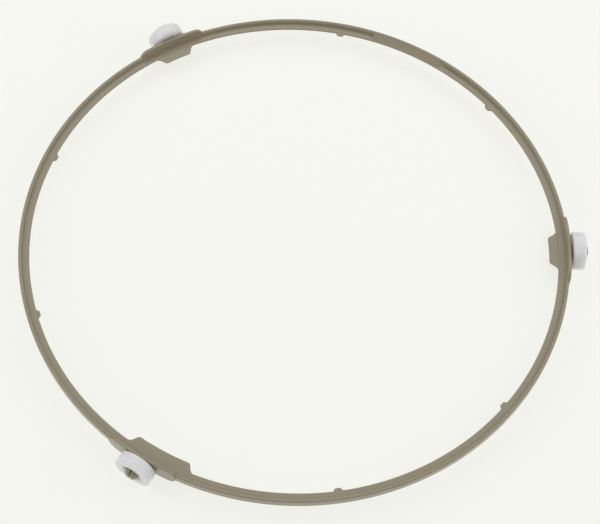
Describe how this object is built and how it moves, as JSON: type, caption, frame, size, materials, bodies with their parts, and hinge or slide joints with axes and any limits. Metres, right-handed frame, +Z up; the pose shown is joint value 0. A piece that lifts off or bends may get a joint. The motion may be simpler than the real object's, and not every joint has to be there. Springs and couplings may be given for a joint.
{
  "type": "microwave roller ring",
  "caption": "Thin plastic ring with free-turning rollers on snap axles that carries a microwave oven's glass turntable plate.",
  "frame": {"origin": "on the ring's axis at the oven floor, level with the lowest points of the rollers", "axes": "+Z up along the ring's axis, +X outwards through one roller, the other two at 120 and 240 degrees"},
  "size_m": [0.2274, 0.22, 0.015],
  "materials": {
    "ring_plastic": "satin taupe moulded plastic",
    "roller_plastic": "satin white moulded plastic"
  },
  "bodies": {
    "ring": {"roller_ring": "ring_plastic"},
    "roller_right": {"roller_right": "roller_plastic"},
    "roller_back_left": {"roller_back_left": "roller_plastic"},
    "roller_front_left": {"roller_front_left": "roller_plastic"}
  },
  "joints": [
    {"name": "roller_right_spin", "type": "hinge", "parent": "ring", "child": "roller_right", "pos_m": [0.1135, 0, 0.0075], "axis": [1, 0, 0], "continuous": true},
    {"name": "roller_back_left_spin", "type": "hinge", "parent": "ring", "child": "roller_back_left", "pos_m": [-0.05675, 0.09829, 0.0075], "axis": [-0.5, 0.866, 0], "continuous": true},
    {"name": "roller_front_left_spin", "type": "hinge", "parent": "ring", "child": "roller_front_left", "pos_m": [-0.05675, -0.09829, 0.0075], "axis": [-0.5, -0.866, 0], "continuous": true}
  ]
}
